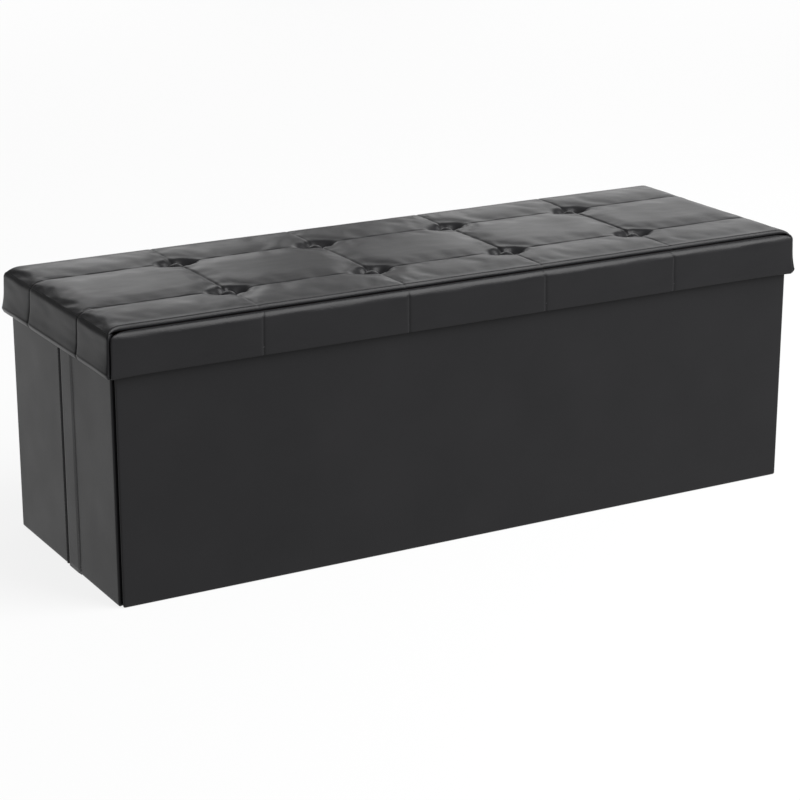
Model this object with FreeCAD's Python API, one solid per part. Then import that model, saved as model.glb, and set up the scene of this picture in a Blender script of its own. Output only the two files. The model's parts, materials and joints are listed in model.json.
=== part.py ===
"""Folding storage ottoman: a lift-off tufted lid on a box whose ends, floor and front fold flat.

Frame: X along the length, front face towards -Y, +Z up, origin on the floor under the
middle of the ottoman. All lengths are millimetres.
"""
import FreeCAD, Part
import math
import os

# ---- driving dimensions -------------------------------------------------------------

LENGTH = 1100.0           # over the lid's two end skirts
DEPTH = 380.0             # over the lid's front and back skirts
LID_OVERHANG = 6.5        # how far the lid's skirt stands outside the walls
WALL_TOP = 345.0          # height of the walls that the lid sits on
SKIRT_BOTTOM = 320.0      # lower hem of the lid's skirt
SEAM_HEIGHT = 378.0       # seam between the skirt and the padded top
CROWN_HEIGHT = 388.0      # top of the padding

COVER = 1.2               # faux leather with its backing, on the walls
LINING = 0.8              # non-woven lining
LONG_WALL = 9.0           # front and back walls, cover and lining included
END_WALL = 6.5            # folding ends and floor, skins included
CORNER_SETBACK = 2.0      # the long walls' faces stop this far short of the ends' faces
CORNER_OVERLAP = 3.0      # the ends' faces run this far past the long walls' inner faces

FOLD_LIMIT = 80.0         # degrees that each end half turns when the box is folded
FOLD_GAP = 0.3            # from a panel's edge to its fold line
FLOOR_CLOTH = 0.8         # cloth under the floor boards
FLOOR_CLOTH_HEIGHT = 0.8  # its underside above the ground
FLOOR_BOARD_HEIGHT = 1.8  # underside of the floor boards
FLOOR_END_MARGIN = 4.0    # kept free between a floor board and a folded end half
TAPE = 0.5                # hinge tapes inside the corners
TAPE_REACH = 16.0         # how far a tape runs onto each panel
CREASE_STRIP = 0.8        # leather strip over the crease in each end
CREASE_STRIP_FRONT = 46.0  # how far it runs onto the front half
CREASE_STRIP_REAR = 6.0   # and onto the rear half

PULL_WIDTH = 20.0         # ribbon loop that lifts the floor
PULL_LENGTH = 50.0
PULL_THICKNESS = 2.0

LID_COVER = 1.0           # faux leather of the lid
SKIRT_BOARD = 3.0
HEM_FLAP = 18.0           # how far the skirt's hem is turned up inside
LID_GAP = 0.5             # lid lining over the wall tops
LID_BOARD = 11.0
TOP_EDGE_RADIUS = 10.0    # rolled edge of the padded top

BUTTON_COLUMNS = 4
BUTTON_ROWS = 2
BUTTON_PITCH_X = 220.6
BUTTON_PITCH_Y = 170.0
BUTTON_RADIUS = 11.0
BUTTON_RIM = 2.5          # straight edge below the button's dome
BUTTON_TOP = 384.0
DIMPLE_FLOOR = 377.5      # where the padding is pulled down to
DIMPLE_FLOOR_RADIUS = 12.5
DIMPLE_MOUTH_RADIUS = 34.0
CORD_RADIUS = 1.0
CORD_HOLE_RADIUS = 1.5
BOARD_HOLE_RADIUS = 2.5
WASHER_RADIUS = 9.0
WASHER_THICKNESS = 1.6
WASHER_POCKET_RADIUS = 10.0
WASHER_POCKET_DEPTH = 3.0
KNOT_RADIUS = 2.2
KNOT_HEIGHT = 1.1

STAPLE_CROWN = 10.0
STAPLE_WIRE = 1.2         # height of the flat wire
STAPLE_THICKNESS = 0.4
STAPLE_LEG = 3.4
STAPLE_HEIGHT = 331.0
STAPLES_LONG = 18         # along the front and along the back
STAPLES_END = 6

# ---- worked out from them -----------------------------------------------------------

OUTER_X = LENGTH / 2 - LID_OVERHANG
OUTER_Y = DEPTH / 2 - LID_OVERHANG
INNER_X = OUTER_X - END_WALL
INNER_Y = OUTER_Y - LONG_WALL
FLOOR_TOP = FLOOR_BOARD_HEIGHT + END_WALL
LID_X = LENGTH / 2
LID_Y = DEPTH / 2
LINING_BOTTOM = WALL_TOP + LID_GAP
LINING_TOP = LINING_BOTTOM + LINING
BOARD_TOP = LINING_TOP + LID_BOARD
SKIN_IN_X = LID_X - LID_COVER
SKIN_IN_Y = LID_Y - LID_COVER
BOARD_X = SKIN_IN_X - SKIRT_BOARD
BOARD_Y = SKIN_IN_Y - SKIRT_BOARD
FLAP_TOP = SKIRT_BOTTOM + LID_COVER + HEM_FLAP


def block(x, y, z):
    """A box from three (low, high) pairs."""
    corner = FreeCAD.Vector(x[0], y[0], z[0])
    return Part.makeBox(x[1] - x[0], y[1] - y[0], z[1] - z[0], corner)


def disc(x, y, low, high, radius):
    return Part.makeCylinder(radius, high - low, FreeCAD.Vector(x, y, low))


def save(name, shape):
    shape.exportStep(f"parts/{name}.step")


def mirrored(pair, side):
    """The (low, high) pair on the +side, or its mirror image on the -side."""
    if side > 0:
        return pair
    return (-pair[1], -pair[0])


# ---- walls --------------------------------------------------------------------------

def prism(points, height):
    """Upright prism on a plan outline, from (x, y) points."""
    corners = [FreeCAD.Vector(x, y, height[0]) for x, y in points]
    face = Part.Face(Part.makePolygon(corners + corners[:1]))
    return face.extrude(FreeCAD.Vector(0, 0, height[1] - height[0]))


def long_wall_layer(side, depths, inset, height):
    """One layer of a front (side -1) or back (side +1) wall. Depths run from the inner
    face; the wall's ends slant outward with depth, and are drawn in by inset."""
    slant = (END_WALL - CORNER_SETBACK) / LONG_WALL
    near, far = [INNER_X + depth * slant - inset for depth in depths]
    y_near, y_far = [side * (INNER_Y + depth) for depth in depths]
    return prism([(-near, y_near), (near, y_near), (far, y_far), (-far, y_far)], height)


def end_half_layer(side_x, side_y, depths, inset, height):
    """One layer of half an end, from the crease in the middle to its upright corner."""
    slant = CORNER_OVERLAP / END_WALL
    near, far = [side_y * (INNER_Y + depth * slant - inset) for depth in depths]
    x_near, x_far = [side_x * (INNER_X + depth) for depth in depths]
    crease = side_y * inset
    return prism([(x_near, crease), (x_far, crease), (x_far, far), (x_near, near)], height)


def save_panel(name, layer, thickness):
    """Board, wrapped cover and lining of one wall panel, whose layers layer() draws."""
    height = (COVER, WALL_TOP - COVER)
    inset = FOLD_GAP + COVER
    slab = layer((0, thickness), FOLD_GAP, (0, WALL_TOP))
    hollow = layer((0, thickness - COVER), inset, height)
    save(f"{name}_cover", slab.cut(hollow))
    save(f"{name}_lining", layer((0, LINING), inset, height))
    save(f"{name}_board", layer((LINING, thickness - COVER), inset, height))


def long_wall(name, side):
    def layer(depths, inset, height):
        return long_wall_layer(side, depths, inset, height)

    save_panel(name, layer, LONG_WALL)


def end_half(name, side_x, side_y):
    def layer(depths, inset, height):
        return end_half_layer(side_x, side_y, depths, inset, height)

    save_panel(name, layer, END_WALL)


def corner_tape(name, side_x, side_y):
    """Hinge tape in the upright inner corner between an end half and a long wall."""
    height = (FLOOR_TOP + TAPE_REACH, WALL_TOP - COVER)
    on_long = block(
        mirrored((INNER_X - TAPE_REACH, INNER_X), side_x),
        mirrored((INNER_Y - TAPE, INNER_Y), side_y),
        height,
    )
    on_end = block(
        mirrored((INNER_X - TAPE, INNER_X), side_x),
        mirrored((INNER_Y - TAPE_REACH, INNER_Y - TAPE), side_y),
        height,
    )
    save(name, on_long.fuse(on_end).removeSplitter())


def crease_strip(name, side_x):
    """Leather strip sewn over the crease, on the outer face of an end."""
    thick = mirrored((OUTER_X, OUTER_X + CREASE_STRIP), side_x)
    save(name, block(thick, (-CREASE_STRIP_FRONT, CREASE_STRIP_REAR), (0, WALL_TOP)))


# ---- floor --------------------------------------------------------------------------

def floor_board_plan(side, low, high):
    """A floor half's outline, mitred so that it clears the end halves when folded."""
    angle = math.radians(FOLD_LIMIT)
    start = END_WALL * math.sin(angle) * math.tan(angle) + FLOOR_END_MARGIN
    near = INNER_X - start - FOLD_GAP * math.sin(angle)
    far = near - (INNER_Y - 2 * FOLD_GAP) * math.sin(angle)
    wall_edge = side * (INNER_Y - FOLD_GAP)
    fold_edge = side * FOLD_GAP
    points = [(-near, wall_edge), (near, wall_edge), (far, fold_edge), (-far, fold_edge)]
    return prism(points, (low, high))


def floor_half(name, side):
    split = FLOOR_TOP - LINING
    save(f"{name}_board", floor_board_plan(side, FLOOR_BOARD_HEIGHT, split))
    save(f"{name}_lining", floor_board_plan(side, split, FLOOR_TOP))


def floor_tape(name, side):
    """Hinge tape along the bottom of a long wall, onto the floor board beside it."""
    reach = INNER_X - 3 * TAPE_REACH
    on_wall = block(
        (-reach, reach),
        mirrored((INNER_Y - TAPE, INNER_Y), side),
        (FLOOR_TOP, FLOOR_TOP + TAPE_REACH - TAPE),
    )
    on_floor = block(
        (-reach, reach),
        mirrored((INNER_Y - TAPE_REACH, INNER_Y - TAPE), side),
        (FLOOR_TOP, FLOOR_TOP + TAPE),
    )
    save(name, on_wall.fuse(on_floor).removeSplitter())


def floor_cloth():
    """Cloth under the whole floor: hinge of the middle fold and gusset at each end."""
    x = INNER_X - FOLD_GAP
    y = INNER_Y - FOLD_GAP
    height = (FLOOR_CLOTH_HEIGHT, FLOOR_CLOTH_HEIGHT + FLOOR_CLOTH)
    save("floor_cloth", block((-x, x), (-y, y), height))


def floor_pull():
    """Flat ribbon loop beside the middle fold, sewn to the rear floor half."""
    half = PULL_WIDTH / 2
    start = 2 * FOLD_GAP
    height = (FLOOR_TOP, FLOOR_TOP + PULL_THICKNESS)
    save("floor_pull_loop", block((-half, half), (start, start + PULL_LENGTH), height))


# ---- lid ----------------------------------------------------------------------------

def button_places():
    places = []
    for column in range(BUTTON_COLUMNS):
        for row in range(BUTTON_ROWS):
            x = (column - (BUTTON_COLUMNS - 1) / 2) * BUTTON_PITCH_X
            y = (row - (BUTTON_ROWS - 1) / 2) * BUTTON_PITCH_Y
            places.append((x, y))
    return places


def rolled_slab(inset):
    """The padded top, drawn in by inset on every side, with a dimple at each button."""
    x = LID_X - inset
    y = LID_Y - inset
    top = CROWN_HEIGHT - inset
    slab = block((-x, x), (-y, y), (BOARD_TOP, top))
    rims = [edge for edge in slab.Edges if edge.BoundBox.ZMin > top - 0.01]
    slab = slab.makeFillet(TOP_EDGE_RADIUS - inset, rims)
    floor = DIMPLE_FLOOR - inset
    dimples = []
    for bx, by in button_places():
        foot = FreeCAD.Vector(bx, by, floor)
        floor_radius = DIMPLE_FLOOR_RADIUS + inset
        mouth_radius = DIMPLE_MOUTH_RADIUS + inset
        dimples.append(Part.makeCone(floor_radius, mouth_radius, top - floor, foot))
    return slab.cut(Part.makeCompound(dimples))


def cord_holes(radius, low, high):
    return Part.makeCompound([disc(x, y, low, high, radius) for x, y in button_places()])


def lid_padding():
    """Foam block and the sewn top cover over it."""
    holes = cord_holes(CORD_HOLE_RADIUS, BOARD_TOP, CROWN_HEIGHT)
    above_seam = block((-LID_X, LID_X), (-LID_Y, LID_Y), (SEAM_HEIGHT, CROWN_HEIGHT))
    below_seam = block((-LID_X, LID_X), (-LID_Y, LID_Y), (BOARD_TOP, SEAM_HEIGHT))
    inner = rolled_slab(LID_COVER)
    dimpled = rolled_slab(0.0)
    shell = dimpled.cut(inner)
    cups = shell.common(below_seam)
    in_skirt = block((-BOARD_X, BOARD_X), (-BOARD_Y, BOARD_Y), (BOARD_TOP, SEAM_HEIGHT))
    cover = shell.common(above_seam).fuse(cups.common(in_skirt)).removeSplitter()
    save("lid_top_cover", cover.cut(holes))
    save("lid_foam", inner.cut(holes))


def lid_board():
    """Board under the foam, bored for the button cords, with a pocket for each washer."""
    board = block((-BOARD_X, BOARD_X), (-BOARD_Y, BOARD_Y), (LINING_TOP, BOARD_TOP))
    board = board.cut(cord_holes(BOARD_HOLE_RADIUS, LINING_TOP, BOARD_TOP))
    pocket_top = LINING_TOP + WASHER_POCKET_DEPTH
    board = board.cut(cord_holes(WASHER_POCKET_RADIUS, LINING_TOP, pocket_top))
    save("lid_board", board)
    lining = block((-BOARD_X, BOARD_X), (-BOARD_Y, BOARD_Y), (LINING_BOTTOM, LINING_TOP))
    save("lid_lining", lining)


def button(x, y):
    """A covered button: a short rim and a dome of one sphere."""
    base = DIMPLE_FLOOR
    rim = base + BUTTON_RIM
    rise = BUTTON_TOP - rim
    sphere_radius = (BUTTON_RADIUS**2 + rise**2) / (2 * rise)
    centre = FreeCAD.Vector(x, y, BUTTON_TOP - sphere_radius)
    ball = Part.makeSphere(sphere_radius, centre)
    dome = ball.common(disc(x, y, rim, BUTTON_TOP, BUTTON_RADIUS + 1.0))
    return disc(x, y, base, rim, BUTTON_RADIUS).fuse(dome)


def button_cord(x, y):
    """Cord from a button down to the knot under its washer."""
    pocket_top = LINING_TOP + WASHER_POCKET_DEPTH
    washer_bottom = pocket_top - WASHER_THICKNESS
    cord = disc(x, y, washer_bottom, DIMPLE_FLOOR, CORD_RADIUS)
    return cord.fuse(disc(x, y, washer_bottom - KNOT_HEIGHT, washer_bottom, KNOT_RADIUS))


def washer(x, y):
    top = LINING_TOP + WASHER_POCKET_DEPTH
    ring = disc(x, y, top - WASHER_THICKNESS, top, WASHER_RADIUS)
    return ring.cut(disc(x, y, top - WASHER_THICKNESS, top, CORD_HOLE_RADIUS))


def tufting():
    for name, piece in (
        ("tuft_buttons", button),
        ("tuft_cords", button_cord),
        ("tuft_washers", washer),
    ):
        save(name, Part.makeCompound([piece(x, y) for x, y in button_places()]))


def staple(centre, inward):
    """A flat-wire staple lying on a hem flap; inward points away from the skirt board."""
    half = STAPLE_CROWN / 2
    height = (STAPLE_HEIGHT, STAPLE_HEIGHT + STAPLE_WIRE)
    crown = block((-half, half), (0, STAPLE_THICKNESS), height)
    leg = block((-half, -half + STAPLE_THICKNESS), (-STAPLE_LEG, 0), height)
    other = block((half - STAPLE_THICKNESS, half), (-STAPLE_LEG, 0), height)
    shape = crown.fuse([leg, other]).removeSplitter()
    turn = math.degrees(math.atan2(inward[1], inward[0])) - 90.0
    shape.rotate(FreeCAD.Vector(0, 0, 0), FreeCAD.Vector(0, 0, 1), turn)
    shape.translate(FreeCAD.Vector(centre[0], centre[1], 0))
    return shape


def staple_row(count, span, face, along_x):
    """Evenly spaced staples down one flap, whose face lies at the given distance."""
    row = []
    for index in range(count):
        place = ((index + 0.5) / count - 0.5) * 2 * span
        inward = -math.copysign(1, face)
        if along_x:
            row.append(staple((place, face), (0, inward)))
        else:
            row.append(staple((face, place), (inward, 0)))
    return row


def skirt(name, side, along_x):
    """One side of the lid's skirt: its board and the cover with its turned-up hem."""
    if along_x:
        reach, face, stop, flap_reach = LID_X, LID_Y, SKIN_IN_X, BOARD_X
    else:
        reach, face, stop, flap_reach = SKIN_IN_Y, LID_X, BOARD_Y, BOARD_Y - LID_COVER
    skin = face - LID_COVER
    board_in = skin - SKIRT_BOARD
    flap_in = board_in - LID_COVER
    hem_top = SKIRT_BOTTOM + LID_COVER

    def piece(half_span, depth, height):
        span = (-half_span, half_span)
        thick = mirrored(depth, side)
        if along_x:
            return block(span, thick, height)
        return block(thick, span, height)

    hem_reach = reach if along_x else flap_reach
    cover = piece(reach, (skin, face), (hem_top, SEAM_HEIGHT))
    cover = cover.fuse([
        piece(hem_reach, (flap_in, face), (SKIRT_BOTTOM, hem_top)),
        piece(flap_reach, (flap_in, board_in), (hem_top, FLAP_TOP)),
    ]).removeSplitter()
    board = piece(stop, (board_in, skin), (hem_top, BOARD_TOP))
    count = STAPLES_LONG if along_x else STAPLES_END
    staples = staple_row(count, flap_reach, side * flap_in, along_x)
    wires = Part.makeCompound(staples)
    save(f"lid_{name}_skirt_cover", cover.cut(wires))
    save(f"lid_{name}_skirt_board", board.cut(wires))
    return staples


def lid_skirts():
    staples = skirt("front", -1, True) + skirt("back", 1, True)
    staples += skirt("left", -1, False) + skirt("right", 1, False)
    save("lid_staples", Part.makeCompound(staples))


# ---- the whole ottoman --------------------------------------------------------------

os.makedirs("parts", exist_ok=True)

long_wall("back", 1)
long_wall("front", -1)
for end_name, end_side in (("left", -1), ("right", 1)):
    end_half(f"{end_name}_rear", end_side, 1)
    end_half(f"{end_name}_front", end_side, -1)
    corner_tape(f"{end_name}_rear_tape", end_side, 1)
    corner_tape(f"{end_name}_front_tape", end_side, -1)
    crease_strip(f"{end_name}_crease_strip", end_side)

floor_half("floor_rear", 1)
floor_half("floor_front", -1)
floor_tape("floor_rear_tape", 1)
floor_tape("floor_front_tape", -1)
floor_cloth()
floor_pull()

lid_board()
lid_padding()
lid_skirts()
tufting()
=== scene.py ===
"""Looks of the folding storage ottoman: black faux leather over boards, with a tufted lid.

Every place comes from the CAD frame. Lengths are metres, -Y is the front and +Z is up.
"""
import json
import math
from itertools import zip_longest

import bpy
import numpy as np
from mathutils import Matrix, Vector, noise


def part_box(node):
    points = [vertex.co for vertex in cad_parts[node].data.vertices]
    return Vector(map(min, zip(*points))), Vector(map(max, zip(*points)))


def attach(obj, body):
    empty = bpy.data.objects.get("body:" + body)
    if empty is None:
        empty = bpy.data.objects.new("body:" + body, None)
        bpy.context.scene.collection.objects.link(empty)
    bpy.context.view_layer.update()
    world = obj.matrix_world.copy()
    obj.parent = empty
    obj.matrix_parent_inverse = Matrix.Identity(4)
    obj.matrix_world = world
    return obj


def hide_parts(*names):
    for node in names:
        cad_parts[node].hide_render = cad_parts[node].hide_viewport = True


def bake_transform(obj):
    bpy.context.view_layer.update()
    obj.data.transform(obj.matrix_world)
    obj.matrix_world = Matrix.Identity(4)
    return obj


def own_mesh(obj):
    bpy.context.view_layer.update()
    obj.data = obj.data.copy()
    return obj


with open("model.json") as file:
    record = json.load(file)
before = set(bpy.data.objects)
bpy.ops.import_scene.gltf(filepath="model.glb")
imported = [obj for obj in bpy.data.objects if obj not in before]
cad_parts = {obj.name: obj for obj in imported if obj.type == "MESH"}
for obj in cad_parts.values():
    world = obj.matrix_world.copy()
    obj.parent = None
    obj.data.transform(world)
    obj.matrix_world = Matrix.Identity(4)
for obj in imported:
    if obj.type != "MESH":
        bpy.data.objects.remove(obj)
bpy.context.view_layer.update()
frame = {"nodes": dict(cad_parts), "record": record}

MM = 0.001

# ---- places taken from the frame ----

LID_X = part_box("lid_front_skirt_cover")[1].x
LID_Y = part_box("lid_back_skirt_cover")[1].y
HEM_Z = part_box("lid_front_skirt_cover")[0].z
SEAM_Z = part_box("lid_front_skirt_cover")[1].z
CROWN_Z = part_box("lid_top_cover")[1].z
WALL_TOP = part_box("back_cover")[1].z
OUTER_X = -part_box("left_rear_cover")[0].x
OUTER_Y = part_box("back_cover")[1].y
INNER_X = -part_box("left_rear_cover")[1].x
INNER_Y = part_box("back_cover")[0].y

BUTTON_RADIUS = 11 * MM
BUTTON_COLUMNS = 4            # buttons along the lid, in two rows
button_low, button_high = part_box("tuft_buttons")
COLUMNS = np.linspace(
    button_low.x + BUTTON_RADIUS, button_high.x - BUTTON_RADIUS, BUTTON_COLUMNS)
ROWS = np.array([button_low.y + BUTTON_RADIUS, button_high.y - BUTTON_RADIUS])
BUTTONS = [(x, y) for x in COLUMNS for y in ROWS]
BUTTON_BASE_Z = button_low.z
BUTTON_TOP_Z = button_high.z

# ---- shape of the soft parts ----

TOP_FLAT_Z = CROWN_Z - 3.0 * MM
SIDE_INSET = 11.5 * MM        # the sewn top's edge, in from the front and back faces
END_INSET = 3.0 * MM          # and in from the end faces
INSET_FADE = 26 * MM          # the side inset closes up this far from the corners
SIDE_DROP = TOP_FLAT_Z - SEAM_Z - 0.5 * MM
SIDE_REACH = 3 * MM           # how far in the top's rolled edge starts, front and back
ROLL_HEIGHT = 13 * MM         # the roll below the seam, along the front and back
SHOULDER_DROP = 15 * MM       # at the ends the top and the skirt share one round shoulder
SHOULDER_REACH = 23 * MM
TOP_THICKNESS = 1.0 * MM
TOP_X = LID_X - END_INSET
TOP_Y = LID_Y - SIDE_INSET
TOP_PITCH = 5.5 * MM          # mesh spacing of the sewn top before it is refined
DIMPLE_INNER = 13 * MM        # the leather is pulled down under each button
DIMPLE_OUTER = 28 * MM
DIMPLE_DEPTH = TOP_FLAT_Z - BUTTON_BASE_Z + 3.0 * MM
BUTTON_SINK = 1.5 * MM        # the button's rim sits this far into the dimple
PUFF_LIMIT = 3 * MM           # most that the padding may move the leather
PADDING_PRESSURE = 0.45
LEATHER_EASE = 0.002          # share of extra leather between the seams
SIMULATED_FRAMES = 25
SEAM_WANDER = 0.8 * MM        # the seams stray this far from a straight line
SEAM_START = 8 * MM           # and reach their full depth this far from a button's rim
SEAM_PULL_REACH = 50 * MM     # the crosswise ones are deepest this near to a button
SEAM_REACH = 0.3 * MM         # mesh points this near to a seam line are on it
ROW_HOLD = 0.8                # how firmly the lengthwise and crosswise seams are held
COLUMN_HOLD = 0.9
EDGE_HOLD = 0.7               # and the leather this near to the front and back seams
EDGE_HOLD_WIDTH = 14 * MM
DIMPLE_HOLD = 0.9             # and the leather round the buttons, fixed further in
DIMPLE_HOLD_RADIUS = 32 * MM
DIMPLE_FIXED_RADIUS = 20 * MM
COLUMN_GROOVE = 2.0 * MM      # depth and width of the crosswise and lengthwise seams
COLUMN_GROOVE_WIDTH = 2.3 * MM
ROW_GROOVE = 0.7 * MM
ROW_GROOVE_WIDTH = 1.9 * MM
GATHERS = 9                   # small pleats of the leather round a button
GATHER_DEPTH = 0.035          # as a share of the button's radius

LID_SKIN = 1.0 * MM
FRONT_PUFF = 1.2 * MM         # how far the skirt swells between its seams
END_PUFF = 3.2 * MM
BELLY_HEIGHT = 12 * MM        # it swells most this far above the hem
BELLY_SEAM_REACH = 30 * MM    # and evens out this far from its seams and its corners
BELLY_CORNER_REACH = 40 * MM
FRONT_BEAD = 0.1              # share of the hem's bead left along the front and back
SKIRT_SEAM_DEPTH = 0.9 * MM
SKIRT_SEAM_WIDTH = 1.8 * MM
SKIRT_PITCH = 6 * MM          # mesh spacing along a skirt before it is refined
CORNER_TUCK = 6.5 * MM        # depth and width of the sewn corner of the skirt
CORNER_ROUND = 5.0 * MM
HEM_SAG = 2.0 * MM            # the hem hangs this much lower at the corners
HEM_SAG_REACH = 60 * MM
HEM_STITCH_HEIGHT = 11.5 * MM
BOARD_INSET = 2.8 * MM        # from the skirt's face to the board inside it
BOARD_THICKNESS = 1.6 * MM
BOARD_END_GAP = 7 * MM        # how much shorter it is than the CAD board at each end

COVER_THICKNESS = 1.2 * MM    # of the CAD walls' covers
WALL_SKIN = 1.0 * MM
WALL_PITCH = 9 * MM           # mesh spacing of the wall skins
EDGE_ROUND = 3.5 * MM
EDGE_LINES = (0, 0.3, 0.6, 1.0, 1.6)    # mesh lines near an edge, in edge radii
WALL_WAVE = 0.5 * MM          # unevenness of a wall, which fades out near its edges
WALL_EDGE_FADE = 25 * MM
CREASE_DEPTH = 3.2 * MM
CREASE_WIDTH = 3.0 * MM
STRIP_SKIN = 0.8 * MM
STRIP_EDGE_SINK = 0.9 * MM    # the strip's edges sink towards the cover under them
STRIP_TAPERS = (9 * MM, 1.5 * MM)       # over this width at the front and rear edge
TAPE_THICKNESS = 0.5 * MM
RIBBON_THICKNESS = 0.6 * MM
OPEN_CORNER = 6.5 * MM        # the tape of the open corner stops this far from it
GUSSET_FOOT = 12 * MM         # width of a gusset at the long walls

# ---- studio and camera ----

FLOOR_GLOW = 0.86
FLOOR_REACH = 8.0
ROOM_LIGHT = 0.25
LIGHTS_AIM = (0, 0, 0.38)
SOFTBOXES = (  # name, azimuth and elevation in degrees, distance, size, radiance
    ("back_left_box", 12, 14, 6.0, (2.4, 3.3), 1.28),
    ("back_right_box", 42, 14, 6.0, (2.7, 3.3), 1.24),
    ("front_top_box", 139, 46, 4.0, (3.0, 3.8), 11.5),
)
CAMERA_PLACE = (-1.6434, -2.8664, 1.2050)
CAMERA_AZIMUTH = 209.57       # degrees from +Y, towards +X, as for the lights
CAMERA_ELEVATION = 17.65
CAMERA_LENS = 106.0           # focal length and sensor width, in millimetres
SENSOR_WIDTH = 36.0


# ---- mesh helpers ----

def make_object(name, points, faces, material):
    """A new smooth-shaded mesh object in the scene."""
    mesh = bpy.data.meshes.new(name)
    mesh.from_pydata([tuple(p) for p in points], [], faces)
    mesh.materials.append(material)
    mesh.shade_smooth()
    obj = bpy.data.objects.new(name, mesh)
    bpy.context.scene.collection.objects.link(obj)
    return obj


def apply_modifiers(obj):
    """Bakes the object's modifiers into its mesh."""
    graph = bpy.context.evaluated_depsgraph_get()
    mesh = bpy.data.meshes.new_from_object(obj.evaluated_get(graph))
    obj.modifiers.clear()
    obj.data = mesh


def points_of(obj):
    """The mesh's points as rows of x, y, z."""
    flat = np.empty(len(obj.data.vertices) * 3)
    obj.data.vertices.foreach_get("co", flat)
    return flat.reshape(-1, 3)


def set_points(obj, points):
    """Moves the mesh's points to these rows of x, y, z."""
    obj.data.vertices.foreach_set("co", points.astype(np.float32).ravel())
    obj.data.update()


def refine(obj, levels):
    """Subdivides the mesh smoothly."""
    smooth = obj.modifiers.new("smooth", "SUBSURF")
    smooth.levels = levels
    smooth.render_levels = levels
    apply_modifiers(obj)
    obj.data.shade_smooth()


def thicken(obj, thickness):
    """Gives a sheet its thickness, on the side that its faces look away from."""
    skin = obj.modifiers.new("skin", "SOLIDIFY")
    skin.thickness = thickness
    skin.offset = -1
    apply_modifiers(obj)


def turn_away_from(obj, centre):
    """Turns the faces to look away from a point."""
    middle = Vector(centre)
    total = sum((p.center - middle).dot(p.normal) * p.area for p in obj.data.polygons)
    if total < 0:
        obj.data.flip_normals()


def finish_piece(obj, body, slot, *nodes):
    """Fixes a finished piece to its body and hides the nodes it stands for."""
    if body:
        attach(obj, body)
    if nodes:
        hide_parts(*nodes)


def graded(stops, pitch, ease=0.7):
    """Coordinates from the first stop to the last, closer together near every stop."""
    line = [stops[0]]
    for a, b in zip(stops, stops[1:]):
        count = max(2, round((b - a) / pitch))
        for i in range(1, count + 1):
            t = i / count
            line.append(a + (b - a) * (t - ease * math.sin(2 * math.pi * t) / (2 * math.pi)))
    return np.array(line)


def grid_faces(rows, columns):
    """Quads of a grid whose vertices run along the columns first."""
    corners = [i * columns + j for i in range(rows - 1) for j in range(columns - 1)]
    return [(a, a + columns, a + columns + 1, a + 1) for a in corners]


def dome(distance, reach):
    """0 on an edge, rising like a quarter circle to 1 at reach and beyond."""
    t = np.clip(distance / reach, 0, 1)
    return np.sqrt(1 - (1 - t) ** 2)


def ripple(points, scale, seed, stretch=(1, 1, 1)):
    """Smooth noise from -1 to 1 at each point; scale is the size of one wave."""
    s = [1 / (scale * k) for k in stretch]
    return np.array([
        noise.noise(Vector((p[0] * s[0] + seed, p[1] * s[1] - seed, p[2] * s[2] + 2 * seed)))
        for p in points
    ])


# ---- materials ----

def set_sockets(node, **values):
    """Sets a node's sockets; an underscore stands for the space in a socket's name."""
    for socket, value in values.items():
        node.inputs[socket.replace("_", " ")].default_value = value


class NodeMaterial:
    """A node material being built up round its main shader."""

    def __init__(self, name):
        self.material = bpy.data.materials.new(name)
        self.material.use_nodes = True
        self.nodes = self.material.node_tree.nodes
        self.links = self.material.node_tree.links
        self.shader = self.nodes["Principled BSDF"]

    def add(self, kind, **values):
        """A new node with these socket values."""
        node = self.nodes.new(f"ShaderNode{kind}")
        set_sockets(node, **values)
        return node

    def texture(self, kind, squeeze=None, **values):
        """A texture on the piece's own coordinates; squeeze scales the axes for streaks."""
        source = self.add("TexCoord").outputs["Object"]
        if squeeze:
            mapping = self.add("Mapping", Scale=squeeze)
            self.links.new(source, mapping.inputs["Vector"])
            source = mapping.outputs["Vector"]
        node = self.add(kind, **values)
        self.links.new(source, node.inputs["Vector"])
        return node

    def noise(self, scale, detail, squeeze=None):
        """The value of a noise texture."""
        return self.texture("TexNoise", squeeze, Scale=scale, Detail=detail).outputs["Fac"]

    def mix(self, factor, dark, light):
        """Colour between dark and light, as factor goes from 0 to 1."""
        node = self.add("Mix")
        node.data_type = "RGBA"
        set_sockets(node, A=(*dark, 1), B=(*light, 1))
        self.links.new(factor, node.inputs["Factor"])
        return node.outputs["Result"]

    def spread(self, value, low, high):
        """The middle of a noise's range, spread over low to high."""
        node = self.add("MapRange", From_Min=0.3, From_Max=0.7, To_Min=low, To_Max=high)
        self.links.new(value, node.inputs["Value"])
        return node.outputs["Result"]

    def bump(self, height, distance, strength, under=None):
        """Normal of a surface with this relief, on top of the one under it if given."""
        node = self.add("Bump", Distance=distance, Strength=strength)
        self.links.new(height, node.inputs["Height"])
        if under:
            self.links.new(under, node.inputs["Normal"])
        return node.outputs["Normal"]

    def finish(self, colour, roughness, normal, **values):
        """Connects the shader, sets its other sockets and returns the material."""
        self.links.new(colour, self.shader.inputs["Base Color"])
        self.links.new(roughness, self.shader.inputs["Roughness"])
        self.links.new(normal, self.shader.inputs["Normal"])
        set_sockets(self.shader, **values)
        return self.material


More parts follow.
